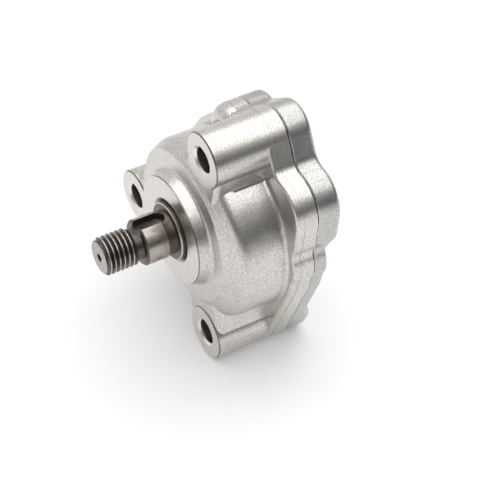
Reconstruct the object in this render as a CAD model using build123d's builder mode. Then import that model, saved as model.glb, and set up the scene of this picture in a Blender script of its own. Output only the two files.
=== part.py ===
from build123d import *
import math
import os

# Engine oil pump: a rotor pump with an inner and an outer rotor, millimetres.
# The shaft lies on the Y axis and points to -Y. The origin is on the shaft axis
# in the cover's rear mounting face, +X to the right seen from the shaft end.
# Every height is measured from that rear face towards the shaft end.

# Housing
cover_thickness = 6.7
cover_rim_thickness = 3.3
body_length = 23.6
hub_wall = 6.5
hub_draft = 20.0
hub_fillet = 1.0
plateau_drop = 3.3
plateau_setback = 0.9
shoulder_depth = 3.0
shoulder_edge = 3.0
drum_wall = 3.3
boss_drop = 3.75
boss_edge = 0.3
flange_step = 1.85
flange_foot = 0.9
flange_thickness = 5.8
flange_valley = 3.5
wide_valley = 14.0
column_valley = 4.0
cast_edge = 0.8
foot_lift = 1.0
foot_step = 0.1
foot_drop = 0.3
parting_edge = 0.25
cover_edge = 1.5
cover_chamfer = 0.5

# Arms from the drum to the columns, and the webs under them
arm_drop = 0.25
arm_inset = 0.4
arm_root = 8.0
arm_edge = 1.5
web_drop = 2.0
web_inset = 0.3
web_edge = 1.2

# Thin rim of the cover, with a ramp at both ends
relief_radius = 20.3
relief_start = -60.0
relief_sweep = 74.0
relief_ramp = 3.0

# Mounting columns as (x, z)
column_radius = 7.2
upper_column = (10.0, 27.7)
left_column = (-26.1, -10.1)
lower_column = (9.8, -28.9)
mounting_hole_radius = 3.3
mounting_hole_chamfer = 0.5

# Cover screw lobes, each (x, z) and radius; the right one has a long lower side
upper_lobe = ((-2.7, 21.5), 7.3)
right_lobe = ((21.6, 14.8), 8.7)
right_lobe_foot = ((22.9, 9.0), 6.6)
right_swell = ((22.3, -0.4), 7.0)
lower_lobe = ((-9.5, -27.4), 8.7)
lobe_length = 7.2
lobe_edge = 3.2

# Countersunk cover screws
screw_radius = 2.0
screw_length = 10.0
screw_head_radius = 4.0
screw_sink = 0.1
screw_socket_width = 2.5
screw_socket_depth = 1.4
screw_hole_gap = 0.2
screw_thread_gap = 0.05
screw_end_gap = 0.6
screw_wall = 2.0

# Dowel pins between body and cover
dowel_radius = 1.25
dowel_length = 7.0
dowel_gap = 0.02
dowel_end_gap = 0.3
dowel_wall = 1.15

# Rotor set
eccentricity = 2.75
inner_lobes = 4
lobe_circle = 17.6
lobe_arc = 5.6
rotor_thickness = 14.0
rotor_side_gap = 0.08
rotor_tip_gap = 0.06
ring_wall = 2.74
outer_rotor_gap = 0.08
root_fillet = 0.5
profile_points = 17

# Shaft
journal_radius = 7.6
journal_stand = 0.94
journal_gap = 0.08
journal_chamfer = 0.3
bore_chamfer = 0.9
undercut_radius = 5.75
undercut_length = 2.51
gear_seat_radius = 6.0
gear_seat_length = 5.88
gear_seat_chamfer = 0.45
relief_groove_radius = 4.1
relief_groove_length = 1.97
thread_radius = 4.92
thread_length = 8.4
thread_chamfer = 0.75
centre_hole_radius = 0.95
centre_hole_depth = 2.5
key_width = 4.0
key_floor = 3.7
key_length = 7.6
rotor_seat_radius = 5.5
rotor_seat_gap = 0.02
tail_length = 3.9
tail_end_gap = 0.3
pin_radius = 1.75
pin_length = 16.6
pin_gap = 0.03

# Ports in the cover
kidney_inner = 9.6
kidney_outer = 16.0
kidney_sweep = 110.0
kidney_depth = 2.8
port_circle = 12.8
inlet_radius = 5.0
outlet_radius = 4.0

# Sizes, heights and places that follow from the sizes above
outer_lobes = inner_lobes + 1
root_radius = lobe_circle - lobe_arc + 2 * eccentricity + rotor_tip_gap
outer_rotor_radius = root_radius + ring_wall
chamber_radius = outer_rotor_radius + outer_rotor_gap
drum_radius = chamber_radius + drum_wall
flange_radius = drum_radius + flange_step
plateau_radius = drum_radius - eccentricity - plateau_setback
hub_radius = journal_radius + hub_wall
screw_outset = chamber_radius + screw_radius + screw_wall
dowel_outset = chamber_radius + dowel_radius + dowel_wall
relief_depth = cover_thickness - cover_rim_thickness
parting = cover_thickness
casting_base = parting + foot_lift
hub_face = parting + body_length
plateau = hub_face - plateau_drop
drum_side = plateau - shoulder_depth
boss_face = hub_face - boss_drop
arm_face = boss_face - arm_drop
web_face = drum_side - web_drop
flange_face = parting + flange_thickness
lobe_face = parting + lobe_length
chamber_depth = rotor_thickness + 2 * rotor_side_gap
chamber_floor = parting + chamber_depth
rotor_rear = parting + rotor_side_gap
journal_front = hub_face + journal_stand
undercut_front = journal_front + undercut_length
seat_front = undercut_front + gear_seat_length
groove_front = seat_front + relief_groove_length
shaft_front = groove_front + thread_length
pin_height = rotor_rear + pin_radius + pin_gap
drum_centre = (eccentricity, 0)
drum_axis = Axis((eccentricity, 0, 0), (0, -1, 0))
shaft_axis = Axis((0, 0, 0), (0, -1, 0))

os.makedirs("parts", exist_ok=True)


def level(height):
    """Plane across the shaft at a height, its normal towards the shaft end."""
    return Plane.XZ.offset(height)


def from_drum(place, outset):
    """Point at a distance from the drum's centre, on the line to a place."""
    dx = place[0] - drum_centre[0]
    dz = place[1] - drum_centre[1]
    reach = math.hypot(dx, dz)
    return (drum_centre[0] + dx * outset / reach, drum_centre[1] + dz * outset / reach)


def screw_place(place):
    """A lobe's screw stands in its middle, but never nearer the chamber than the outset."""
    return from_drum(place, max(screw_outset, math.dist(place, drum_centre)))


def edges_at(part, height):
    """Edges that lie in the plane across the shaft at a height."""
    return part.edges().filter_by_position(Axis.Y, -height - 0.01, -height + 0.01)


def disc(centre, size):
    """Flat disc about a centre."""
    with BuildSketch() as shape:
        with Locations(centre):
            Circle(size)
    return shape.sketch


def hull_of(*circles):
    """Tight outline around circles, each (centre, radius)."""
    with BuildSketch() as shape:
        for centre, size in circles:
            with Locations(centre):
                Circle(size)
        make_hull()
    return shape.sketch


def round_outline(shapes, radius, step=0.0):
    """Union of flat shapes with its valleys rounded, larger all round by a step."""
    with BuildSketch() as outline:
        for shape in shapes:
            add(shape)
        offset(amount=radius + step, kind=Kind.ARC)
        offset(amount=-radius, kind=Kind.ARC)
    return outline.sketch


column_places = [upper_column, left_column, lower_column]
columns = [(place, column_radius) for place in column_places]
drum_disc = disc(drum_centre, drum_radius)
column_hulls = [hull_of((drum_centre, flange_radius), column) for column in columns]
right_side = [hull_of(right_lobe, right_lobe_foot), disc(*right_swell)]
right_flank = round_outline([hull_of(columns[0]), hull_of(right_lobe, right_lobe_foot)], wide_valley)
flange_outline = round_outline(column_hulls + right_side + [right_flank], flange_valley)
flange_shapes = [flange_outline, disc(*upper_lobe), disc(*lower_lobe)]
full_outline = round_outline(flange_shapes, flange_valley, foot_step)
web_discs = [disc(drum_centre, drum_radius - web_inset)]
web_discs += [disc(place, column_radius - web_inset) for place in column_places]
web_outline = round_outline(web_discs, column_valley)
screw_places = [screw_place(lobe[0]) for lobe in (upper_lobe, right_lobe, lower_lobe)]
dowel_places = [from_drum(place, dowel_outset) for place in (upper_column, lower_column)]


# Drum about the chamber, with a shoulder that leans to the plateau about the shaft
with BuildPart() as drum_front:
    with BuildSketch(level(casting_base)):
        add(drum_disc)
    extrude(amount=drum_side - casting_base)
    with BuildSketch(level(drum_side)):
        add(drum_disc)
    with BuildSketch(level(plateau)):
        Circle(plateau_radius)
    loft()
    fillet(edges_at(drum_front, drum_side), shoulder_edge)
    fillet(edges_at(drum_front, plateau), cast_edge)
    # Hub with a drafted side and a hollow foot
    hub_foot = hub_radius + plateau_drop * math.tan(math.radians(hub_draft))
    with BuildSketch(level(plateau)):
        Circle(hub_foot)
    extrude(amount=plateau_drop, taper=hub_draft)
    fillet(edges_at(drum_front, plateau).sort_by(SortBy.LENGTH)[0], hub_fillet)


# Body: webs, columns, drum, arms, flange, lobes and foot
with BuildPart() as pump_body:
    with BuildSketch(level(casting_base)):
        add(web_outline)
    webs = extrude(amount=web_face - casting_base, mode=Mode.PRIVATE)
    add(webs.fillet(web_edge, edges_at(webs, web_face)))
    for column in columns:
        with BuildSketch(level(casting_base)):
            add(disc(*column))
        post = extrude(amount=boss_face - casting_base, mode=Mode.PRIVATE)
        add(post.chamfer(boss_edge, None, edges_at(post, boss_face)))
    add(drum_front.part)
    for column in columns:
        with BuildSketch(level(casting_base)):
            add(hull_of((column[0], column_radius - arm_inset), (drum_centre, arm_root)))
        arm = extrude(amount=arm_face - casting_base, mode=Mode.PRIVATE)
        add(arm.fillet(arm_edge, edges_at(arm, arm_face)))
    # Upper and lower lobe, domed
    for lobe in (upper_lobe, lower_lobe):
        with BuildSketch(level(casting_base)):
            add(disc(*lobe))
        dome = extrude(amount=lobe_face - casting_base, mode=Mode.PRIVATE)
        add(dome.fillet(lobe_edge, edges_at(dome, lobe_face)))
    # Flange, and the hollow where the drum stands on it
    with BuildSketch(level(casting_base)):
        add(flange_outline)
    flange_plate = extrude(amount=flange_face - casting_base, mode=Mode.PRIVATE)
    add(flange_plate.fillet(cast_edge, edges_at(flange_plate, flange_face)))
    with BuildSketch(Plane.XY):
        with BuildLine():
            side = eccentricity + drum_radius
            hollow_top = (side, -(flange_face + flange_foot))
            hollow_end = (side + flange_foot, -flange_face)
            TangentArc(hollow_top, hollow_end, tangent=(0, 1))
            Line(hollow_end, (side + flange_foot, -casting_base))
            Line((side + flange_foot, -casting_base), (side - drum_wall / 2, -casting_base))
            Line((side - drum_wall / 2, -casting_base), (side - drum_wall / 2, hollow_top[1]))
            Line((side - drum_wall / 2, hollow_top[1]), hollow_top)
        make_face()
    revolve(axis=drum_axis)
    # Foot along the parting face, its edge broken
    with BuildSketch(level(parting)):
        add(full_outline)
    foot = extrude(amount=lobe_length - lobe_edge - foot_drop, mode=Mode.PRIVATE)
    add(foot.chamfer(parting_edge, None, edges_at(foot, parting)))
    # Rotor chamber, and the shaft bore with its broken edge
    with BuildSketch(level(parting)):
        with Locations(drum_centre):
            Circle(chamber_radius)
    extrude(amount=chamber_depth, mode=Mode.SUBTRACT)
    bore = journal_radius + journal_gap
    with Locations(level(hub_face)):
        CounterSinkHole(bore, bore + bore_chamfer, hub_face - chamber_floor, 90)
    # Mounting holes from the boss faces
    with Locations(level(boss_face)):
        with Locations(*column_places):
            mouth = mounting_hole_radius + mounting_hole_chamfer
            CounterSinkHole(mounting_hole_radius, mouth, boss_face - parting, 90)
    # Blind screw holes and dowel holes from the parting face
    with BuildSketch(level(parting)):
        with Locations(*screw_places):
            Circle(screw_radius + screw_thread_gap)
    extrude(amount=screw_length - cover_thickness + screw_end_gap, mode=Mode.SUBTRACT)
    with BuildSketch(level(parting)):
        with Locations(*dowel_places):
            Circle(dowel_radius + dowel_gap)
    extrude(amount=dowel_length / 2 + dowel_end_gap, mode=Mode.SUBTRACT)


def relief_sector(inset):
    """Sector of the cover's thin rim, set in by an amount on its inner arc and both ends."""
    inner = relief_radius + inset
    turn = math.degrees(inset / flange_radius)
    start = relief_start + turn
    sweep = relief_sweep - 2 * turn
    with BuildSketch() as sector:
        with BuildLine():
            with Locations(drum_centre):
                near = CenterArc((0, 0), inner, start, sweep)
                far = CenterArc((0, 0), 2 * flange_radius, start, sweep)
            Line(near @ 0, far @ 0)
            Line(near @ 1, far @ 1)
        make_face()
    return sector.sketch


# Cover: full outline with a thin rim between the right and the lower fixing
with BuildPart() as rear_cover:
    with BuildSketch(level(0)):
        add(full_outline)
    extrude(amount=cover_thickness)
    fillet(edges_at(rear_cover, 0), cover_edge)
    chamfer(edges_at(rear_cover, parting), cover_chamfer)
    with BuildSketch(level(0)):
        add(relief_sector(0))
    with BuildSketch(level(relief_depth)):
        add(relief_sector(relief_ramp))
    loft(mode=Mode.SUBTRACT)
    # Blind bearing for the shaft's tail, and the two kidney recesses
    with BuildSketch(level(parting)):
        Circle(rotor_seat_radius + journal_gap)
    extrude(amount=-(tail_length + tail_end_gap), mode=Mode.SUBTRACT)
    middle = eccentricity / 2
    kidney_width = kidney_outer - kidney_inner
    kidney_radius = (kidney_outer + kidney_inner) / 2
    with BuildSketch(level(parting)):
        for side in (1, -1):
            with Locations((middle, 0)):
                line = CenterArc((0, 0), kidney_radius, side * 90 - kidney_sweep / 2, kidney_sweep)
                SlotArc(line, kidney_width)
    extrude(amount=-kidney_depth, mode=Mode.SUBTRACT)
    # Ports from the rear face into the kidneys
    with BuildSketch(level(0)):
        with Locations((middle, -port_circle)):
            Circle(inlet_radius)
        with Locations((middle, port_circle)):
            Circle(outlet_radius)
    extrude(amount=cover_thickness - kidney_depth, mode=Mode.SUBTRACT)
    # Mounting holes, dowel holes and countersunk screw holes
    with BuildSketch(level(0)):
        with Locations(*column_places):
            Circle(mounting_hole_radius)
    extrude(amount=cover_thickness, mode=Mode.SUBTRACT)
    with BuildSketch(level(parting)):
        with Locations(*dowel_places):
            Circle(dowel_radius + dowel_gap)
    extrude(amount=-(dowel_length / 2 + dowel_end_gap), mode=Mode.SUBTRACT)
    with Locations(-level(0)):
        with Locations(*[(x, -z) for x, z in screw_places]):
            sink = screw_head_radius + screw_hole_gap
            CounterSinkHole(screw_radius + screw_hole_gap, sink, cover_thickness, 90)


# Shaft: tail, rotor seat, journal, undercut, gear seat with keyway, thread
with BuildPart() as drive_shaft:
    with BuildSketch(Plane.XY):
        with BuildLine():
            Polyline(
                (0, -(parting - tail_length)),
                (rotor_seat_radius - journal_chamfer, -(parting - tail_length)),
                (rotor_seat_radius, -(parting - tail_length + journal_chamfer)),
                (rotor_seat_radius, -chamber_floor),
                (journal_radius, -chamber_floor),
                (journal_radius, -(journal_front - journal_chamfer)),
                (journal_radius - journal_chamfer, -journal_front),
                (undercut_radius, -journal_front),
                (undercut_radius, -undercut_front),
                (gear_seat_radius, -undercut_front),
                (gear_seat_radius, -(seat_front - gear_seat_chamfer)),
                (gear_seat_radius - gear_seat_chamfer, -seat_front),
                (relief_groove_radius, -seat_front),
                (relief_groove_radius, -groove_front),
                (thread_radius, -groove_front),
                (thread_radius, -(shaft_front - thread_chamfer)),
                (thread_radius - thread_chamfer, -shaft_front),
                (0, -shaft_front),
                close=True,
            )
        make_face()
    revolve(axis=shaft_axis)
    # Centre hole in the end
    with Locations(level(shaft_front)):
        Hole(centre_hole_radius, centre_hole_depth)
    # Keyway on top, open to the relief groove, its blind end round
    key_end = seat_front - key_length + key_width / 2
    with BuildSketch(Plane.XY.offset(key_floor)):
        with Locations((0, -(key_end + key_length / 2))):
            Rectangle(key_width, key_length)
        with Locations((0, -key_end)):
            Circle(key_width / 2)
    extrude(amount=gear_seat_radius, mode=Mode.SUBTRACT)
    # Cross hole for the pin that drives the inner rotor
    with BuildSketch(Plane.YZ):
        with Locations((-pin_height, 0)):
            Circle(pin_radius + rotor_seat_gap)
    extrude(amount=2 * rotor_seat_radius, both=True, mode=Mode.SUBTRACT)


def trochoid_point(angle):
    """Point of the inner rotor's flank: a trochoid set in by the outer rotor's lobe arc."""
    turns = outer_lobes * angle
    x = lobe_circle * math.cos(angle) + eccentricity * math.cos(turns)
    z = lobe_circle * math.sin(angle) + eccentricity * math.sin(turns)
    dx = -lobe_circle * math.sin(angle) - outer_lobes * eccentricity * math.sin(turns)
    dz = lobe_circle * math.cos(angle) + outer_lobes * eccentricity * math.cos(turns)
    inset = (lobe_arc + rotor_tip_gap) / math.hypot(dx, dz)
    return (x - dz * inset, z + dx * inset)


def lobe_points(turn):
    """Flank points of one lobe from valley to valley, the lobe's tip at an angle."""
    half = math.pi / inner_lobes
    steps = [half * (2 * i / (profile_points - 1) - 1) for i in range(profile_points)]
    return [Vector(*trochoid_point(step)).rotate(Axis.Z, turn) for step in steps]


def square_to(point):
    """Direction across the radius of a point, the way the angle grows."""
    return (-point.Y, point.X)


# Inner rotor: trochoid lobes, bore for the shaft and a slot for the pin
with BuildPart() as inner_rotor:
    with BuildSketch(level(rotor_rear)):
        with BuildLine():
            for lobe in range(inner_lobes):
                flank = lobe_points(math.degrees(2 * math.pi * lobe / inner_lobes))
                Spline(*flank, tangents=[square_to(flank[0]), square_to(flank[-1])])
        make_face()
        Circle(rotor_seat_radius + rotor_seat_gap, mode=Mode.SUBTRACT)
    extrude(amount=rotor_thickness)
    slot_length = pin_length + 2 * pin_gap
    with BuildSketch(level(rotor_rear)):
        Rectangle(slot_length, 2 * (pin_radius + pin_gap))
    extrude(amount=2 * (pin_radius + pin_gap), mode=Mode.SUBTRACT)


# Outer rotor: ring with one lobe arc more than the inner rotor
with BuildPart() as outer_rotor:
    with BuildSketch(level(rotor_rear)):
        with Locations(drum_centre):
            Circle(outer_rotor_radius)
    extrude(amount=rotor_thickness)
    with BuildSketch(level(rotor_rear)) as cavity:
        with Locations(drum_centre):
            Circle(root_radius)
            with PolarLocations(lobe_circle, outer_lobes):
                Circle(lobe_arc, mode=Mode.SUBTRACT)
        fillet(cavity.vertices(), root_fillet)
    extrude(amount=rotor_thickness, mode=Mode.SUBTRACT)


# Pin across the shaft, lying in the inner rotor's slot
with BuildPart() as rotor_drive_pin:
    with BuildSketch(Plane.YZ):
        with Locations((-pin_height, 0)):
            Circle(pin_radius)
    extrude(amount=pin_length / 2, both=True)


def dowel_pin(place):
    """Dowel half in the cover and half in the body."""
    with BuildPart() as dowel:
        with BuildSketch(level(parting)):
            with Locations(place):
                Circle(dowel_radius)
        extrude(amount=dowel_length / 2, both=True)
    return dowel.part


def cover_screw(place):
    """Countersunk screw, its head just below the rear face."""
    with BuildPart() as screw:
        with BuildSketch(level(screw_sink)):
            with Locations(place):
                Circle(screw_head_radius)
        extrude(amount=screw_head_radius - screw_radius, taper=45)
        with BuildSketch(level(screw_sink)):
            with Locations(place):
                Circle(screw_radius)
        extrude(amount=screw_length - screw_sink)
        with BuildSketch(level(screw_sink)):
            with Locations(place):
                RegularPolygon(screw_socket_width / 2, 6, major_radius=False)
        extrude(amount=screw_socket_depth, mode=Mode.SUBTRACT)
    return screw.part


pieces = {
    "pump_body": pump_body.part,
    "rear_cover": rear_cover.part,
    "drive_shaft": drive_shaft.part,
    "inner_rotor": inner_rotor.part,
    "outer_rotor": outer_rotor.part,
    "rotor_drive_pin": rotor_drive_pin.part,
    "dowel_upper": dowel_pin(dowel_places[0]),
    "dowel_lower": dowel_pin(dowel_places[1]),
    "cover_screw_upper": cover_screw(screw_places[0]),
    "cover_screw_right": cover_screw(screw_places[1]),
    "cover_screw_lower": cover_screw(screw_places[2]),
}
for name, piece in pieces.items():
    piece.label = name
    export_step(piece, "parts/" + name + ".step")
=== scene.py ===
import math
import bmesh
import bpy
from mathutils import Matrix, Vector


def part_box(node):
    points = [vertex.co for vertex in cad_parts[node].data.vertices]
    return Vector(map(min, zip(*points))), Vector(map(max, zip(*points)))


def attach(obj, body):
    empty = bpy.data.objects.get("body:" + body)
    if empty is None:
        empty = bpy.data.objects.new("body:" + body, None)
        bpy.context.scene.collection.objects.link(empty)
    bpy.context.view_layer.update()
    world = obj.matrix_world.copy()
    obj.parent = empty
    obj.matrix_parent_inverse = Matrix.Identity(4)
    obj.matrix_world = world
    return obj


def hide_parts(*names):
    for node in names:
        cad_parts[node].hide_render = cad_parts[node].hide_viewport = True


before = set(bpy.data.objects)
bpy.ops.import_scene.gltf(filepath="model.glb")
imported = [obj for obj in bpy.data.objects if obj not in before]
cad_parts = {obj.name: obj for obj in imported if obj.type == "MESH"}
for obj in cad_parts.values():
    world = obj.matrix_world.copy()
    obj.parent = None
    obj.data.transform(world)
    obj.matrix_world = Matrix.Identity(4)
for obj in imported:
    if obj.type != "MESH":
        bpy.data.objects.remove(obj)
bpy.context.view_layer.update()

MM = 0.001

scene = bpy.context.scene
scene.view_settings.view_transform = "Standard"

# Camera: turned and raised as the photograph's, fitted to the pump's own circles
CAMERA_TURN = math.radians(59.3)
CAMERA_RISE = math.radians(42.41)
CAMERA_PLACE = Vector((309.57, -190.90, 311.24)) * MM
FOCAL_PIXELS = 1895.13
IMAGE_WIDTH = 503
SENSOR_WIDTH = 36.0
CLIP_NEAR = 0.01
CLIP_FAR = 20.0

# Sizes of the pump that the pieces below share, in millimetres. Heights run from the rear face
# towards the shaft's end, which is along -Y.
HUB_FACE = 30.3
BOSS_FACE = 26.55
PARTING = 6.7
JOURNAL_FRONT = 31.24
UNDERCUT_FRONT = 33.75
SEAT_FRONT = 39.63
GROOVE_FRONT = 41.60
SHAFT_FRONT = 50.0
JOURNAL_RADIUS = 7.6
JOURNAL_CHAMFER = 0.3
UNDERCUT_RADIUS = 5.75
SEAT_RADIUS = 6.0
SEAT_CHAMFER = 0.45
GROOVE_RADIUS = 4.1
KEY_WIDTH = 4.0
KEY_FLOOR = 3.7
KEY_LENGTH = 7.6
KEY_OVERRUN = 1.0
CENTRE_HOLE = 0.95
CENTRE_DEPTH = 2.5
CENTRE_CHAMFER = 0.2
CENTRE_CONE = 0.6
CENTRE_TIP = 0.05

# Thread: crest and root radius, pitch, how its two ends fall away, and its neck's radius
THREAD_CREST = 4.92
THREAD_ROOT = 4.15
THREAD_PITCH = 1.25
THREAD_CHAMFER = 0.75
THREAD_RUNOUT = 0.3
THREAD_NECK = 4.0
# Its outline, as radii at shares of a pitch from the middle of a crest
THREAD_OUTLINE = (
    (0.0, THREAD_CREST),
    (0.07, THREAD_CREST),
    (0.10, THREAD_CREST - 0.05),
    (0.40, THREAD_ROOT + 0.10),
    (0.5, THREAD_ROOT),
)

# The shaft is shown by three pieces: core and nose meet inside the bore, and nose and thread at
# the end of the relief groove, with a hair between them
NOSE_REAR = 29.8
NOSE_FRONT = GROOVE_FRONT - 0.01

# Fineness of the meshes, edge wear, and the distances within which points are one
LATHE_COLUMNS = 128
THREAD_COLUMNS = 96
THREAD_SPARE_TURNS = 2
KEY_END_STEPS = 24
EDGE_WEAR = 0.07
EDGE_SEGMENTS = 2
EDGE_ANGLE = math.radians(35)
TURNED_SHARP = math.radians(25)
THREAD_SHARP = math.radians(28)
CORE_MERGE = 0.001
NOSE_MERGE = 0.003
THREAD_MERGE = 0.002


def add_camera():
    data = bpy.data.cameras.new("camera")
    data.sensor_width = SENSOR_WIDTH
    data.lens = FOCAL_PIXELS / IMAGE_WIDTH * data.sensor_width
    data.clip_start = CLIP_NEAR
    data.clip_end = CLIP_FAR
    camera = bpy.data.objects.new("camera", data)
    scene.collection.objects.link(camera)
    cos_turn, sin_turn = math.cos(CAMERA_TURN), math.sin(CAMERA_TURN)
    cos_rise, sin_rise = math.cos(CAMERA_RISE), math.sin(CAMERA_RISE)
    right = Vector((cos_turn, sin_turn, 0))
    back = Vector((sin_turn * cos_rise, -cos_turn * cos_rise, sin_rise))
    up = back.cross(right)
    turn = Matrix((right, up, back)).transposed().to_4x4()
    camera.matrix_world = Matrix.Translation(CAMERA_PLACE) @ turn
    scene.camera = camera


add_camera()


def new_piece(name, mesh, body, material, replaced=()):
    """Object that rides on a body, takes a material, and may stand for CAD nodes, which it hides.
    """
    piece = bpy.data.objects.new(name, mesh)
    scene.collection.objects.link(piece)
    mesh.materials.clear()
    mesh.materials.append(material)
    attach(piece, body)
    if replaced:
        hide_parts(*replaced)


def shade(mesh, sharp_angle):
    """Smooth shading, with edges sharper than an angle left crisp."""
    for face in mesh.polygons:
        face.use_smooth = True
    mesh.set_sharp_from_angle(angle=sharp_angle)


class Tree:
    """A material's nodes, added one by one and linked as they come."""

    def __init__(self, name):
        self.material = bpy.data.materials.new(name)
        self.material.use_nodes = True
        self.nodes = self.material.node_tree.nodes
        self.links = self.material.node_tree.links
        self.shader = self.nodes["Principled BSDF"]
        coordinates = self.nodes.new("ShaderNodeTexCoord")
        self.place = coordinates.outputs["Object"]
        self.normal = coordinates.outputs["Normal"]

    def put(self, socket, value):
        """A number or colour goes into a socket, and another socket is linked to it."""
        if isinstance(value, bpy.types.NodeSocket):
            self.links.new(value, socket)
        else:
            socket.default_value = value

    def math(self, operation, a, b=0.0, clamp=False):
        node = self.nodes.new("ShaderNodeMath")
        node.operation = operation
        node.use_clamp = clamp
        self.put(node.inputs[0], a)
        self.put(node.inputs[1], b)
        return node.outputs[0]

    def times(self, a, b):
        return self.math("MULTIPLY", a, b)

    def minus(self, a, b, clamp=False):
        return self.math("SUBTRACT", a, b, clamp)

    def most(self, a, b):
        return self.math("MAXIMUM", a, b)

    def above(self, a, b):
        """1 where a is more than b, and 0 elsewhere."""
        return self.math("GREATER_THAN", a, b)

    def below(self, a, b):
        """1 where a is less than b, and 0 elsewhere."""
        return self.math("LESS_THAN", a, b)

    def size(self, value):
        return self.math("ABSOLUTE", value)

    def near(self, value, centre_mm, width_mm):
        """1 where a length is within a width of a place, and 0 elsewhere."""
        return self.below(self.size(self.minus(value, centre_mm * MM)), width_mm * MM)

    def between(self, value, low_mm, high_mm):
        """1 where a length is between two others, and 0 elsewhere."""
        return self.times(self.above(value, low_mm * MM), self.below(value, high_mm * MM))

    def noise(self, size_mm, detail, vector=None, roughness=0.5):
        """Noise about 0.5, its features about this size."""
        node = self.nodes.new("ShaderNodeTexNoise")
        self.put(node.inputs["Vector"], vector or self.place)
        node.inputs["Scale"].default_value = 1.0 / (size_mm * MM)
        node.inputs["Detail"].default_value = detail
        node.inputs["Roughness"].default_value = roughness
        return node.outputs["Fac"]

    def ramp(self, value, low, high, out_low=0.0, out_high=1.0):
        """A value between two limits, spread over another range and kept in it."""
        node = self.nodes.new("ShaderNodeMapRange")
        node.clamp = True
        self.put(node.inputs["Value"], value)
        self.put(node.inputs["From Min"], low)
        self.put(node.inputs["From Max"], high)
        self.put(node.inputs["To Min"], out_low)
        self.put(node.inputs["To Max"], out_high)
        return node.outputs[0]

    def mix(self, share, a, b):
        """Colour a where the share is 0, and b where it is 1."""
        node = self.nodes.new("ShaderNodeMix")
        node.data_type = "RGBA"
        self.put(node.inputs["Factor"], share)
        self.put(node.inputs["A"], a)
        self.put(node.inputs["B"], b)
        return node.outputs["Result"]

    def split(self, vector):
        node = self.nodes.new("ShaderNodeSeparateXYZ")
        self.put(node.inputs[0], vector)
        return node.outputs

    def radius(self, place, x_mm=0.0, z_mm=0.0):
        """Distance from the shaft's axis, or from a line beside it."""
        across = self.minus(place[0], x_mm * MM)
        up = self.minus(place[2], z_mm * MM)
        squares = self.math("ADD", self.times(across, across), self.times(up, up))
        return self.math("SQRT", squares)

    def line(self, value):
        """A length as a vector, for noise that changes along it alone."""
        node = self.nodes.new("ShaderNodeCombineXYZ")
        self.put(node.inputs[0], value)
        return node.outputs[0]

    def bump(self, height, strength, depth_mm, normal=None):
        node = self.nodes.new("ShaderNodeBump")
        self.put(node.inputs["Height"], height)
        self.put(node.inputs["Strength"], strength)
        node.inputs["Distance"].default_value = depth_mm * MM
        if normal is not None:
            self.put(node.inputs["Normal"], normal)
        return node.outputs[0]

    def metal(self, colour, roughness, normal):
        """The material, as bare metal of this colour, roughness and relief."""
        self.put(self.shader.inputs["Base Color"], colour)
        self.put(self.shader.inputs["Metallic"], 1.0)
        self.put(self.shader.inputs["Roughness"], roughness)
        self.put(self.shader.inputs["Normal"], normal)
        return self.material


def tone(tint, share):
    """A tint made darker or lighter, as a colour."""
    return tuple(min(1.0, c * share) for c in tint) + (1.0,)


# Die-cast aluminium. Sizes and depths are in millimetres, tones are shares of the casting's tint,
# and spans are the limits of the noise between which something fades.
GRAIN_SIZE = 0.26
GRAIN_ROUGHNESS = 0.7
GRAIN_SPAN = (0.34, 0.66)
GRAIN_DARK = 0.60
GRAIN_LIGHT = 1.34
GRAIN_RELIEF = 0.45
GRAIN_DEPTH = 0.06
CLOUD_SIZE = 5.0
CLOUD_SPAN = (0.4, 0.7)
CLOUD_SHARE = 0.14
WAVE_SIZE = 6.0
WAVE_RELIEF = 0.35
WAVE_DEPTH = 0.35
CAST_GLOSS = (0.3, 0.7, 0.38, 0.26)
FACE_SLACK = 0.02
SQUARE_NORMAL = 0.995
CUT_TONES = (1.10, 1.07, 1.05)
CUT_SMOOTHING = 0.33
PORE_SPAN = (0.36, 0.5)
PORE_TONE = 0.80
LATHE_RING_SIZE = 0.16
LATHE_RELIEF = 0.5
LATHE_DEPTH = 0.02
# Painted shade in the drilled holes, and a painted highlight at their countersinks
HOLE_SHADE_REACH = 4.4
HOLE_SHADE_TONE = 0.7
MOUTH_HIGHLIGHT_DEPTH = 0.9
MOUTH_HIGHLIGHT_TONE = 1.35
SEAM_NOISE_SIZE = 2.2
SEAM_SPAN = (0.4, 0.62)
SEAM_WIDTHS = (0.15, 0.26)
# Tone of the dark joint line, also used for the painted shade round cut faces' rims
SEAM_AND_RIM_SHADE_TONE = 0.34
# Painted highlight on the lip along the joint
LIP_HIGHLIGHT_WIDTH = 0.16
LIP_HIGHLIGHT_TONE = 1.22
# Painted shade round the rims of cut faces
RIM_SHADE_DEPTH = 0.15
RIM_SHADE_WIDTH = 1.2


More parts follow.
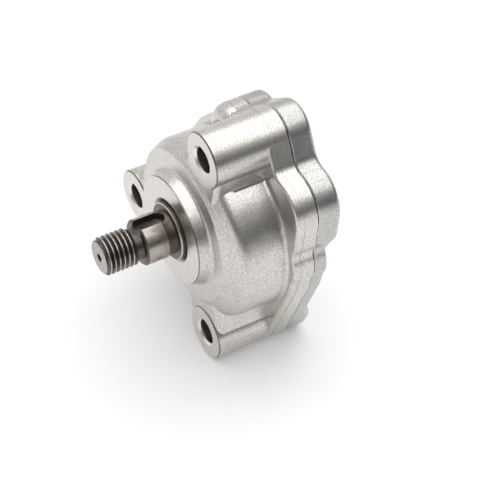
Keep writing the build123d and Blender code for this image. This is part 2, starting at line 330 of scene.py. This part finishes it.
def cast_material(name, tint, faces, turned_face, shaded_rim_faces=()):
    """Casting with machined faces at some heights, one of them turned, painted shade round some
    faces' rims, and painted shade and highlight in the drilled holes of all but the first of
    these.
    """
    tree = Tree(name)
    grain = tree.noise(GRAIN_SIZE, detail=2.0, roughness=GRAIN_ROUGHNESS)
    clouds = tree.noise(CLOUD_SIZE, detail=3.0)
    place = tree.split(tree.place)
    normal = tree.split(tree.normal)
    square = tree.above(tree.size(normal[1]), SQUARE_NORMAL)
    machined = 0.0
    for face in faces:
        machined = tree.most(machined, tree.near(place[1], -face, FACE_SLACK))
    machined = tree.times(machined, square)
    turned = tree.times(machined, tree.near(place[1], -turned_face, FACE_SLACK))
    dark = tone(tint, GRAIN_DARK)
    cast = tree.mix(tree.ramp(grain, *GRAIN_SPAN), dark, tone(tint, GRAIN_LIGHT))
    cast = tree.mix(tree.ramp(clouds, *CLOUD_SPAN, 0.0, CLOUD_SHARE), cast, dark)
    # A cut face is a little paler and warmer, and keeps some pores
    pale = tuple(min(1.0, c * share) for c, share in zip(tint, CUT_TONES)) + (1.0,)
    cut = tree.mix(tree.ramp(grain, *PORE_SPAN), tone(tint, PORE_TONE), pale)
    # A drilled hole's countersink gets a painted highlight, and its wall painted shade
    for face, x, z, _ in shaded_rim_faces[1:]:
        hole = tree.below(tree.radius(place, x, z), HOLE_SHADE_REACH * MM)
        mouth_highlight = tree.times(hole, tree.below(place[1], -(face - MOUTH_HIGHLIGHT_DEPTH) * MM))
        cast = tree.mix(tree.minus(hole, mouth_highlight), cast, tone(tint, HOLE_SHADE_TONE))
        cast = tree.mix(mouth_highlight, cast, tone(tint, MOUTH_HIGHLIGHT_TONE))
    # The joint between the castings is a dark uneven line, with a painted highlight on the lip
    # beside it
    off = tree.size(tree.math("ADD", place[1], PARTING * MM))
    narrow, wide = SEAM_WIDTHS
    uneven = tree.noise(SEAM_NOISE_SIZE, detail=2.0)
    width = tree.ramp(uneven, *SEAM_SPAN, narrow * MM, wide * MM)
    lip_highlight = tree.below(off, tree.math("ADD", width, LIP_HIGHLIGHT_WIDTH * MM))
    cast = tree.mix(lip_highlight, cast, tone(tint, LIP_HIGHLIGHT_TONE))
    seam_and_rim_shade = tree.minus(tree.below(off, width), machined, clamp=True)
    # Painted shade round a cut face's rim: a thin dark line, just below the face
    for face, x, z, reach in shaded_rim_faces:
        rim = tree.near(place[1], -(face - RIM_SHADE_DEPTH), RIM_SHADE_DEPTH)
        rim = tree.times(rim, tree.between(tree.radius(place, x, z), reach - RIM_SHADE_WIDTH, reach))
        seam_and_rim_shade = tree.most(seam_and_rim_shade, tree.minus(rim, square, clamp=True))
    cast = tree.mix(seam_and_rim_shade, cast, tone(tint, SEAM_AND_RIM_SHADE_TONE))
    relief = tree.minus(GRAIN_RELIEF, tree.times(machined, CUT_SMOOTHING))
    wave_relief = tree.minus(WAVE_RELIEF, machined, clamp=True)
    waves = tree.bump(tree.noise(WAVE_SIZE, detail=1.0), wave_relief, WAVE_DEPTH)
    blasted = tree.bump(grain, relief, GRAIN_DEPTH, waves)
    rings = tree.noise(LATHE_RING_SIZE, detail=1.0, vector=tree.line(tree.radius(place)))
    lathed = tree.bump(rings, tree.times(turned, LATHE_RELIEF), LATHE_DEPTH, blasted)
    return tree.metal(tree.mix(machined, cast, cut), tree.ramp(grain, *CAST_GLOSS), lathed)


# Plain steel of the small parts
STEEL_GRAIN_SIZE = 0.3
STEEL_SPAN = (0.35, 0.65)
STEEL_DARK = 0.86
STEEL_LIGHT = 1.1
STEEL_GLOSS_SPAN = (0.3, 0.7)
STEEL_GLOSS = (-0.05, 0.07)
STEEL_ROUGHNESS = 0.3
STEEL_RELIEF = 0.3
STEEL_DEPTH = 0.02


def steel_material(name, tint, roughness=STEEL_ROUGHNESS):
    tree = Tree(name)
    grain = tree.noise(STEEL_GRAIN_SIZE, detail=3.0)
    spread = tree.ramp(grain, *STEEL_SPAN)
    colour = tree.mix(spread, tone(tint, STEEL_DARK), tone(tint, STEEL_LIGHT))
    gloss = tree.ramp(grain, *STEEL_GLOSS_SPAN, *(roughness + step for step in STEEL_GLOSS))
    return tree.metal(colour, gloss, tree.bump(grain, STEEL_RELIEF, STEEL_DEPTH))


# The shaft's steels, each between a dark and a light colour: as hardened, as ground, worn with
# painted highlight, faced
HARDENED = (0.080, 0.071, 0.061, 1.0), (0.175, 0.157, 0.137, 1.0)
GROUND = (0.32, 0.295, 0.265, 1.0), (0.50, 0.47, 0.43, 1.0)
WEAR_AND_HIGHLIGHT = (0.30, 0.275, 0.25, 1.0), (0.62, 0.58, 0.54, 1.0)
FACED = (0.22, 0.20, 0.18, 1.0), (0.52, 0.49, 0.46, 1.0)
WEAR_AND_HIGHLIGHT_SPAN = (0.3, 0.6)
FACED_SPAN = (0.36, 0.56)
SHAFT_GRAIN_ROUGHNESS = 0.65
SHAFT_GRAIN_RELIEF = 0.25
SHAFT_RING_SIZE = 0.12
SHAFT_RING_RELIEF = 0.35
SHAFT_RING_DEPTH = 0.015
SHAFT_GLOSS = (0.3, 0.7, 0.34, 0.42)
BRIGHT_GLOSS = 0.09
# Where each bright place begins and ends, from the surface that it lies on
SEAT_UNDER = 0.06
SEAT_OVER = 0.1
CREST_DEPTHS = (0.14, 0.03)
CREST_STOP = 0.02
END_DEPTH = 0.03
END_OVER = 1.0
END_NORMAL = 0.9
# Where the painted highlight lies at the journal's edge
JOURNAL_HIGHLIGHT_LENGTHS = (0.6, 0.1)
JOURNAL_HIGHLIGHT_DEPTHS = (0.38, 0.01)


def shaft_material():
    """Dark hardened steel, ground at the seat, faced at the end, with painted highlight on the
    worn thread crests and the journal's edge.
    """
    tree = Tree("shaft_steel")
    place = tree.split(tree.place)
    normal = tree.split(tree.normal)
    radius = tree.radius(place)
    height = tree.times(place[1], -1.0)
    grain = tree.noise(STEEL_GRAIN_SIZE, detail=3.0, roughness=SHAFT_GRAIN_ROUGHNESS)
    rings = tree.noise(SHAFT_RING_SIZE, detail=2.0, vector=tree.line(place[1]))
    seat = tree.times(tree.between(height, UNDERCUT_FRONT, SEAT_FRONT),
                      tree.between(radius, SEAT_RADIUS - SEAT_UNDER, SEAT_RADIUS + SEAT_OVER))
    # Thread crests are worn bright, and carry a painted highlight as well
    deep, shallow = CREST_DEPTHS
    crest_wear_and_highlight = tree.ramp(radius, (THREAD_CREST - deep) * MM, (THREAD_CREST - shallow) * MM)
    crest_wear_and_highlight = tree.times(crest_wear_and_highlight, tree.between(height, GROOVE_FRONT, SHAFT_FRONT - CREST_STOP))
    end = tree.between(height, SHAFT_FRONT - END_DEPTH, SHAFT_FRONT + END_OVER)
    end = tree.times(end, tree.above(tree.size(normal[1]), END_NORMAL))
    # The journal's edge gets a painted highlight
    behind, before = JOURNAL_HIGHLIGHT_LENGTHS
    deep, shallow = JOURNAL_HIGHLIGHT_DEPTHS
    edge = tree.times(tree.between(height, JOURNAL_FRONT - behind, JOURNAL_FRONT + before),
                      tree.between(radius, JOURNAL_RADIUS - deep, JOURNAL_RADIUS - shallow))
    colour = tree.mix(tree.ramp(grain, *STEEL_SPAN), *HARDENED)
    colour = tree.mix(seat, colour, tree.mix(tree.ramp(rings, *STEEL_SPAN), *GROUND))
    # Colour of the worn thread crests and of the painted highlights
    wear_and_highlight = tree.mix(tree.ramp(grain, *WEAR_AND_HIGHLIGHT_SPAN), *WEAR_AND_HIGHLIGHT)
    colour = tree.mix(tree.most(crest_wear_and_highlight, edge), colour, wear_and_highlight)
    colour = tree.mix(end, colour, tree.mix(tree.ramp(grain, *FACED_SPAN), *FACED))
    smoother = tree.times(tree.most(seat, crest_wear_and_highlight), BRIGHT_GLOSS)
    gloss = tree.minus(tree.ramp(grain, *SHAFT_GLOSS), smoother)
    lathed = tree.bump(rings, SHAFT_RING_RELIEF, SHAFT_RING_DEPTH)
    return tree.metal(colour, gloss, tree.bump(grain, SHAFT_GRAIN_RELIEF, STEEL_DEPTH, lathed))


# Cut faces with painted shade round their rims: height, x and z of the middle, and reach. The
# first is the hub's, and the others are the three mounting columns', which have drilled holes with
# painted shade in them and a painted highlight at the countersink.
SHADED_RIM_FACES = (
    (HUB_FACE, 0.0, 0.0, 14.4),
    (BOSS_FACE, 10.0, 27.7, 7.4),
    (BOSS_FACE, -26.1, -10.1, 7.4),
    (BOSS_FACE, 9.8, -28.9, 7.4),
)
BODY_TINT = (0.64, 0.62, 0.592)
COVER_TINT = (0.515, 0.507, 0.493)
PIN_TINT = (0.5, 0.5, 0.5)
SCREW_TINT = (0.50, 0.49, 0.45)
SINTERED_TINT = (0.3, 0.3, 0.3)
SINTERED_ROUGHNESS = 0.45

cast_body = cast_material("cast_body", BODY_TINT, (HUB_FACE, BOSS_FACE, PARTING), HUB_FACE, SHADED_RIM_FACES)
cast_cover = cast_material("cast_cover", COVER_TINT, (0.0, PARTING), 0.0)
shaft_steel = shaft_material()
pin_steel = steel_material("pin_steel", PIN_TINT)
screw_steel = steel_material("screw_steel", SCREW_TINT)
sintered = steel_material("sintered_iron", SINTERED_TINT, SINTERED_ROUGHNESS)

FINISH = {
    "pump_body": cast_body,
    "rear_cover": cast_cover,
    "drive_shaft": shaft_steel,
    "inner_rotor": sintered,
    "outer_rotor": sintered,
    "rotor_drive_pin": pin_steel,
    "dowel_upper": pin_steel,
    "dowel_lower": pin_steel,
    "cover_screw_upper": screw_steel,
    "cover_screw_right": screw_steel,
    "cover_screw_lower": screw_steel,
}
for node, material in FINISH.items():
    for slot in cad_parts[node].material_slots:
        slot.material = material


def finish_form(form, name):
    """Mesh of this name from a form, its faces turned outwards."""
    bmesh.ops.recalc_face_normals(form, faces=form.faces[:])
    mesh = bpy.data.meshes.new(name)
    form.to_mesh(mesh)
    form.free()
    return mesh


def shaft_core_mesh():
    """The shaft inside the pump, from the solid's own shape, cut off within the bore."""
    form = bmesh.new()
    form.from_mesh(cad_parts["drive_shaft"].data)
    everything = form.verts[:] + form.edges[:] + form.faces[:]
    cut, forward = (0, -NOSE_REAR * MM, 0), (0, -1, 0)
    bmesh.ops.bisect_plane(form, geom=everything, plane_co=cut, plane_no=forward, clear_outer=True)
    bmesh.ops.remove_doubles(form, verts=form.verts[:], dist=CORE_MERGE * MM)
    rim = [edge for edge in form.edges if edge.is_boundary]
    bmesh.ops.holes_fill(form, edges=rim, sides=0)
    mesh = finish_form(form, "shaft_core")
    shade(mesh, TURNED_SHARP)
    return mesh


def turned_point(form, radius, share, height):
    """Point of a form at a share of a turn about the shaft's axis."""
    angle = 2 * math.pi * share
    place = (radius * math.cos(angle) * MM, -height * MM, radius * math.sin(angle) * MM)
    return form.verts.new(place)


def join_rings(form, near, far):
    """Faces between two rings of as many points."""
    for column in range(len(near)):
        after = (column + 1) % len(near)
        form.faces.new((near[column], near[after], far[after], far[column]))


def lathe_mesh(profile):
    """Closed form turned about the shaft's axis from (radius, height) pairs, its ends capped."""
    form = bmesh.new()
    shares = [column / LATHE_COLUMNS for column in range(LATHE_COLUMNS)]
    rings = [[turned_point(form, radius, share, height) for share in shares]
             for radius, height in profile]
    for near, far in zip(rings, rings[1:]):
        join_rings(form, near, far)
    form.faces.new(rings[0])
    form.faces.new(rings[-1])
    return finish_form(form, "lathe")


def keyway_mesh():
    """Bar with one round end, as the cutter leaves the keyway."""
    half = KEY_WIDTH / 2
    round_at = SEAT_FRONT - KEY_LENGTH + half
    front = GROOVE_FRONT + KEY_OVERRUN
    outline = [(-half, front)]
    for step in range(KEY_END_STEPS + 1):
        angle = math.pi * step / KEY_END_STEPS
        outline.append((-half * math.cos(angle), round_at - half * math.sin(angle)))
    outline.append((half, front))
    form = bmesh.new()
    floor, top = [[form.verts.new(Vector((x, -height, level)) * MM) for x, height in outline]
                  for level in (KEY_FLOOR, 2 * SEAT_RADIUS)]
    join_rings(form, floor, top)
    form.faces.new(floor)
    form.faces.new(top)
    return finish_form(form, "keyway")


def shaft_nose_mesh():
    """Journal's end, undercut, ground seat with its keyway, and relief groove."""
    profile = (
        (JOURNAL_RADIUS, NOSE_REAR),
        (JOURNAL_RADIUS, JOURNAL_FRONT - JOURNAL_CHAMFER),
        (JOURNAL_RADIUS - JOURNAL_CHAMFER, JOURNAL_FRONT),
        (UNDERCUT_RADIUS, JOURNAL_FRONT),
        (UNDERCUT_RADIUS, UNDERCUT_FRONT),
        (SEAT_RADIUS, UNDERCUT_FRONT),
        (SEAT_RADIUS, SEAT_FRONT - SEAT_CHAMFER),
        (SEAT_RADIUS - SEAT_CHAMFER, SEAT_FRONT),
        (GROOVE_RADIUS, SEAT_FRONT),
        (GROOVE_RADIUS, NOSE_FRONT),
    )
    turned = bpy.data.objects.new("turned", lathe_mesh(profile))
    cutter = bpy.data.objects.new("cutter", keyway_mesh())
    scene.collection.objects.link(turned)
    scene.collection.objects.link(cutter)
    cut = turned.modifiers.new("cut", "BOOLEAN")
    cut.operation = "DIFFERENCE"
    cut.solver = "EXACT"
    cut.object = cutter
    wear_and_highlight = turned.modifiers.new("wear_and_highlight", "BEVEL")
    wear_and_highlight.width = EDGE_WEAR * MM
    wear_and_highlight.segments = EDGE_SEGMENTS
    wear_and_highlight.limit_method = "ANGLE"
    wear_and_highlight.angle_limit = EDGE_ANGLE
    bpy.context.view_layer.update()
    view = bpy.context.evaluated_depsgraph_get()
    mesh = bpy.data.meshes.new_from_object(turned.evaluated_get(view))
    bpy.data.objects.remove(turned)
    bpy.data.objects.remove(cutter)
    mesh.name = "shaft_nose"
    form = bmesh.new()
    form.from_mesh(mesh)
    bmesh.ops.remove_doubles(form, verts=form.verts[:], dist=NOSE_MERGE * MM)
    bmesh.ops.dissolve_degenerate(form, edges=form.edges[:], dist=NOSE_MERGE * MM)
    form.to_mesh(mesh)
    form.free()
    shade(mesh, TURNED_SHARP)
    return mesh


def thread_radius(turns):
    """Radius of the thread's outline at a number of pitches along it."""
    away = abs((turns + 0.5) % 1.0 - 0.5)
    for (u0, r0), (u1, r1) in zip(THREAD_OUTLINE, THREAD_OUTLINE[1:]):
        if away <= u1:
            break
    return r0 + (r1 - r0) * (away - u0) / (u1 - u0)


def shaft_thread_mesh():
    """Right-hand thread with a chamfered end, an end face and a centre hole."""
    length = SHAFT_FRONT - GROOVE_FRONT
    shares = [column / THREAD_COLUMNS for column in range(THREAD_COLUMNS)]
    offsets = [share for share, _ in THREAD_OUTLINE[1:]]
    steps = [-share for share in reversed(offsets)] + offsets[:-1]
    # Spare turns at each end are pressed flat onto it, so that the thread begins and ends square
    last_turn = math.ceil(length / THREAD_PITCH) + THREAD_SPARE_TURNS
    form = bmesh.new()

    def ring_at(radius, along):
        return [turned_point(form, radius, share, GROOVE_FRONT + along) for share in shares]

    rings = []
    for turn in range(-THREAD_SPARE_TURNS, last_turn + 1):
        for step in steps:
            ring = []
            for share in shares:
                along = min(max((turn + step - share) * THREAD_PITCH, 0.0), length)
                radius = thread_radius(along / THREAD_PITCH + share)
                radius = min(radius, THREAD_CREST - THREAD_CHAMFER + length - along)
                radius = min(radius, THREAD_CREST - THREAD_RUNOUT + along)
                ring.append(turned_point(form, radius, share, GROOVE_FRONT + along))
            rings.append(ring)
    # One turn is one pitch along, so the last column meets the first column a pitch earlier
    pitch = len(steps)
    for row in range(pitch, len(rings) - 1):
        low = rings[row] + [rings[row - pitch][0]]
        high = rings[row + 1] + [rings[row + 1 - pitch][0]]
        for column in range(THREAD_COLUMNS):
            form.faces.new((low[column], low[column + 1], high[column + 1], high[column]))
    # Face towards the groove, end face, and the centre hole with its tip
    rear = ring_at(THREAD_NECK, 0.0)
    hole = [
        ring_at(CENTRE_HOLE + CENTRE_CHAMFER, length),
        ring_at(CENTRE_HOLE, length - CENTRE_CHAMFER),
        ring_at(CENTRE_HOLE, length - CENTRE_DEPTH + CENTRE_CONE),
        ring_at(CENTRE_TIP, length - CENTRE_DEPTH),
    ]
    join_rings(form, rear, rings[0])
    join_rings(form, rings[-1], hole[0])
    for near, far in zip(hole, hole[1:]):
        join_rings(form, near, far)
    form.faces.new(rear)
    form.faces.new(hole[-1])
    bmesh.ops.remove_doubles(form, verts=form.verts[:], dist=THREAD_MERGE * MM)
    bmesh.ops.dissolve_degenerate(form, edges=form.edges[:], dist=THREAD_MERGE * MM)
    loose = [v for v in form.verts if not v.link_faces]
    bmesh.ops.delete(form, geom=loose, context="VERTS")
    mesh = finish_form(form, "shaft_thread")
    shade(mesh, THREAD_SHARP)
    return mesh


BODY, SLOT = "shaft_assembly", "shaft_steel"
new_piece("shaft_core", shaft_core_mesh(), BODY, shaft_steel, ["drive_shaft"])
new_piece("shaft_nose", shaft_nose_mesh(), BODY, shaft_steel)
new_piece("shaft_thread", shaft_thread_mesh(), BODY, shaft_steel)

FLOOR_HALF = 3.0
FLOOR_COLOUR = (0.84, 0.84, 0.84, 1.0)
FLOOR_ROUGHNESS = 0.9
FLOOR_GLOW = 0.18
WHITE = (1.0, 1.0, 1.0, 1.0)


def add_floor():
    """Plain pale floor under the pump, its shade kept and the rest near white."""
    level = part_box("pump_body")[0][2]
    mesh = bpy.data.meshes.new("floor")
    signs = ((-1, -1), (1, -1), (1, 1), (-1, 1))
    corners = [(x * FLOOR_HALF, y * FLOOR_HALF, level) for x, y in signs]
    mesh.from_pydata(corners, [], [(0, 1, 2, 3)])
    floor = bpy.data.objects.new("floor", mesh)
    scene.collection.objects.link(floor)
    tree = Tree("floor")
    tree.put(tree.shader.inputs["Base Color"], FLOOR_COLOUR)
    tree.put(tree.shader.inputs["Roughness"], FLOOR_ROUGHNESS)
    tree.put(tree.shader.inputs["Specular IOR Level"], 0.0)
    path = tree.nodes.new("ShaderNodeLightPath").outputs
    seen = tree.most(path["Is Camera Ray"], path["Is Glossy Ray"])
    seen = tree.most(seen, path["Is Transmission Ray"])
    tree.put(tree.shader.inputs["Emission Color"], WHITE)
    tree.put(tree.shader.inputs["Emission Strength"], tree.times(seen, FLOOR_GLOW))
    # Seen from below the floor is clear, so the pump's underside shows
    geometry = tree.nodes.new("ShaderNodeNewGeometry")
    clear = tree.nodes.new("ShaderNodeBsdfTransparent")
    either = tree.nodes.new("ShaderNodeMixShader")
    tree.put(either.inputs[0], geometry.outputs["Backfacing"])
    tree.put(either.inputs[1], tree.shader.outputs[0])
    tree.put(either.inputs[2], clear.outputs[0])
    tree.put(tree.nodes["Material Output"].inputs["Surface"], either.outputs[0])
    mesh.materials.append(tree.material)


add_floor()

LAMP_PLACE = Vector((0.0, 0.08, 0.35))
LAMP_TARGET = Vector((0.0, 0.08, 0.0))
LAMP_SIZE = (0.58, 0.70)
LAMP_RADIANCE = 1.4


def add_softbox():
    """Large soft lamp above the pump."""
    data = bpy.data.lights.new("overhead", "AREA")
    data.shape = "RECTANGLE"
    data.size, data.size_y = LAMP_SIZE
    data.energy = LAMP_RADIANCE * math.pi * LAMP_SIZE[0] * LAMP_SIZE[1]
    lamp = bpy.data.objects.new("overhead", data)
    lamp.location = LAMP_PLACE
    lamp.rotation_euler = (LAMP_TARGET - LAMP_PLACE).to_track_quat("-Z", "Y").to_euler()
    scene.collection.objects.link(lamp)


add_softbox()

# Strength of the studio's walls, and between which directions one passes into the next
WALL_LEFT = 0.85
WALL_ABOVE = 0.45
WALL_RIGHT = 0.08
LEFT_SPAN = (-0.75, 0.1)
RIGHT_SPAN = (-0.4, 0.5)
LOW_SPAN = (0.2, 0.6)


def add_world():
    """Plain studio walls: bright at the pump's left, dimmer above, and dark low at its right."""
    world = bpy.data.worlds.new("world")
    scene.world = world
    world.use_nodes = True
    nodes, links = world.node_tree.nodes, world.node_tree.links
    parts = nodes.new("ShaderNodeSeparateXYZ")
    links.new(nodes.new("ShaderNodeTexCoord").outputs["Generated"], parts.inputs[0])

    def spread(value, span, levels):
        node = nodes.new("ShaderNodeMapRange")
        node.interpolation_type = "SMOOTHSTEP"
        links.new(value, node.inputs["Value"])
        for socket, number in zip(("From Min", "From Max", "To Min", "To Max"), span + levels):
            node.inputs[socket].default_value = number
        return node.outputs[0]

    def join(operation, a, b):
        node = nodes.new("ShaderNodeMath")
        node.operation = operation
        links.new(a, node.inputs[0])
        links.new(b, node.inputs[1])
        return node.outputs[0]

    walls = spread(parts.outputs["X"], LEFT_SPAN, (WALL_LEFT, WALL_ABOVE))
    right = spread(parts.outputs["X"], RIGHT_SPAN, (0.0, 1.0))
    low = spread(parts.outputs["Z"], LOW_SPAN, (WALL_ABOVE - WALL_RIGHT, 0.0))
    level = join("SUBTRACT", walls, join("MULTIPLY", right, low))
    background = nodes["Background"]
    background.inputs["Color"].default_value = WHITE
    links.new(level, background.inputs["Strength"])


add_world()
